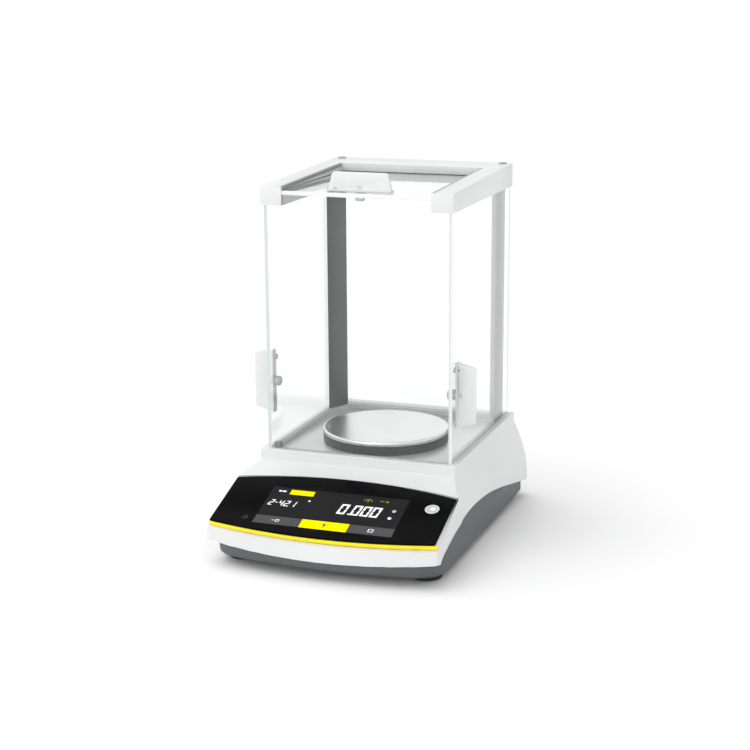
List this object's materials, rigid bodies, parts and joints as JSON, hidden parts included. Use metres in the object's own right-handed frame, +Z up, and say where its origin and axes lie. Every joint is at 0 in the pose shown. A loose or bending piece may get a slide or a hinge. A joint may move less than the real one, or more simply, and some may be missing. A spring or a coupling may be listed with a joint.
{
  "type": "analytical balance",
  "caption": "Analytical balance with a glass draught shield, sliding side and top doors, a round pan on a weigh cell, and a sloping touch panel with a level bubble.",
  "frame": {"origin": "centre of the footprint at the table, under the feet", "axes": "+X to the right and +Y to the rear as seen by a user at the display, +Z up"},
  "size_m": [0.219, 0.305, 0.3417],
  "materials": {
    "white_plastic": "satin",
    "tray_plastic": "fine grain",
    "dark_plastic": "satin",
    "panel_glass": "gloss, opaque back print",
    "accent_yellow": "satin",
    "grey_plastic": "satin",
    "vial_glass": "clear, filled with liquid",
    "clear_glass": "clear, polished edges",
    "circuit_board": "satin solder mask",
    "satin_steel": "satin",
    "polished_steel": "polished",
    "screw_steel": "plain",
    "magnet_iron": "nickel plated",
    "cast_aluminium": "machined",
    "column_aluminium": "satin anodised",
    "socket_metal": "tinned",
    "coil_copper": "enamelled copper winding",
    "foot_rubber": "matte"
  },
  "bodies": {
    "base": {"upper_housing": "white_plastic", "top_frame": "white_plastic", "lower_housing": "tray_plastic", "hook_cover": "tray_plastic", "pan_skirt_ring": "tray_plastic", "display_module": "dark_plastic", "power_socket": "dark_plastic", "panel_glass": "panel_glass", "accent_strip": "accent_yellow", "level_cup": "grey_plastic", "display_ribbon": "grey_plastic", "front_glass_clip": "grey_plastic", "rail_strip_right": "grey_plastic", "rail_strip_left": "grey_plastic", "frame_screw_cap_right": "grey_plastic", "frame_screw_cap_left": "grey_plastic", "level_vial": "vial_glass", "front_glass": "clear_glass", "rear_glass": "clear_glass", "main_circuit_board": "circuit_board", "chamber_floor": "satin_steel", "cell_screw_1": "screw_steel", "cell_screw_2": "screw_steel", "cell_screw_3": "screw_steel", "cell_screw_4": "screw_steel", "front_housing_screw_right": "screw_steel", "front_housing_screw_left": "screw_steel", "rear_housing_screw_right": "screw_steel", "rear_housing_screw_left": "screw_steel", "column_screw_right": "screw_steel", "column_screw_left": "screw_steel", "hook_cover_screw": "screw_steel", "magnet_pot": "magnet_iron", "weigh_cell": "cast_aluminium", "column_right": "column_aluminium", "column_left": "column_aluminium", "data_socket": "socket_metal", "usb_socket": "socket_metal", "magnet_coil": "coil_copper", "rear_foot_right": "foot_rubber", "rear_foot_left": "foot_rubber"},
    "load_receptor": {"load_receptor": "cast_aluminium"},
    "pan_support": {"pan_support": "cast_aluminium"},
    "weighing_pan": {"weighing_pan": "polished_steel"},
    "right_door": {"side_door_glass_right": "clear_glass", "side_door_grip_right": "white_plastic", "side_grip_knob_right": "grey_plastic", "side_grip_pin_right": "grey_plastic"},
    "left_door": {"side_door_glass_left": "clear_glass", "side_door_grip_left": "white_plastic", "side_grip_knob_left": "grey_plastic", "side_grip_pin_left": "grey_plastic"},
    "top_door": {"top_door_glass": "clear_glass", "top_door_grip": "white_plastic", "top_grip_knob": "grey_plastic", "top_grip_pin": "grey_plastic"},
    "foot_pad_right": {"foot_pad_right": "foot_rubber"},
    "foot_pad_left": {"foot_pad_left": "foot_rubber"},
    "foot_wheel_right": {"foot_wheel_right": "dark_plastic"},
    "foot_wheel_left": {"foot_wheel_left": "dark_plastic"}
  },
  "joints": [
    {"name": "right_door_slide", "type": "slide", "parent": "base", "child": "right_door", "axis": [0, 1, 0], "range_m": [0, 0.125]},
    {"name": "left_door_slide", "type": "slide", "parent": "base", "child": "left_door", "axis": [0, 1, 0], "range_m": [0, 0.125]},
    {"name": "top_door_slide", "type": "slide", "parent": "base", "child": "top_door", "axis": [0, 1, 0], "range_m": [0, 0.13]},
    {"name": "receptor_travel", "type": "slide", "parent": "base", "child": "load_receptor", "axis": [0, 0, 1], "range_m": [-0.0004, 0], "stiffness_N_per_m": 20000, "springref_m": 0.0002},
    {"name": "support_lift_off", "type": "slide", "parent": "load_receptor", "child": "pan_support", "axis": [0, 0, 1], "range_m": [0, 0.06]},
    {"name": "pan_lift_off", "type": "slide", "parent": "pan_support", "child": "weighing_pan", "axis": [0, 0, 1], "range_m": [0, 0.15]},
    {"name": "foot_lift_right", "type": "slide", "parent": "base", "child": "foot_pad_right", "axis": [0, 0, -1], "range_m": [-0.0025, 0.005]},
    {"name": "foot_turn_right", "type": "hinge", "parent": "foot_pad_right", "child": "foot_wheel_right", "pos_m": [0.0869, -0.1075, 0.0056], "axis": [0, 0, 1], "range_deg": [-1450, 725]},
    {"name": "foot_lift_left", "type": "slide", "parent": "base", "child": "foot_pad_left", "axis": [0, 0, -1], "range_m": [-0.0025, 0.005]},
    {"name": "foot_turn_left", "type": "hinge", "parent": "foot_pad_left", "child": "foot_wheel_left", "pos_m": [-0.0869, -0.1075, 0.0056], "axis": [0, 0, 1], "range_deg": [-1450, 725]}
  ],
  "couplings": [
    {"joint": "foot_turn_right", "follows": "foot_lift_right", "rad_per_m": -5026.5},
    {"joint": "foot_turn_left", "follows": "foot_lift_left", "rad_per_m": -5026.5}
  ]
}
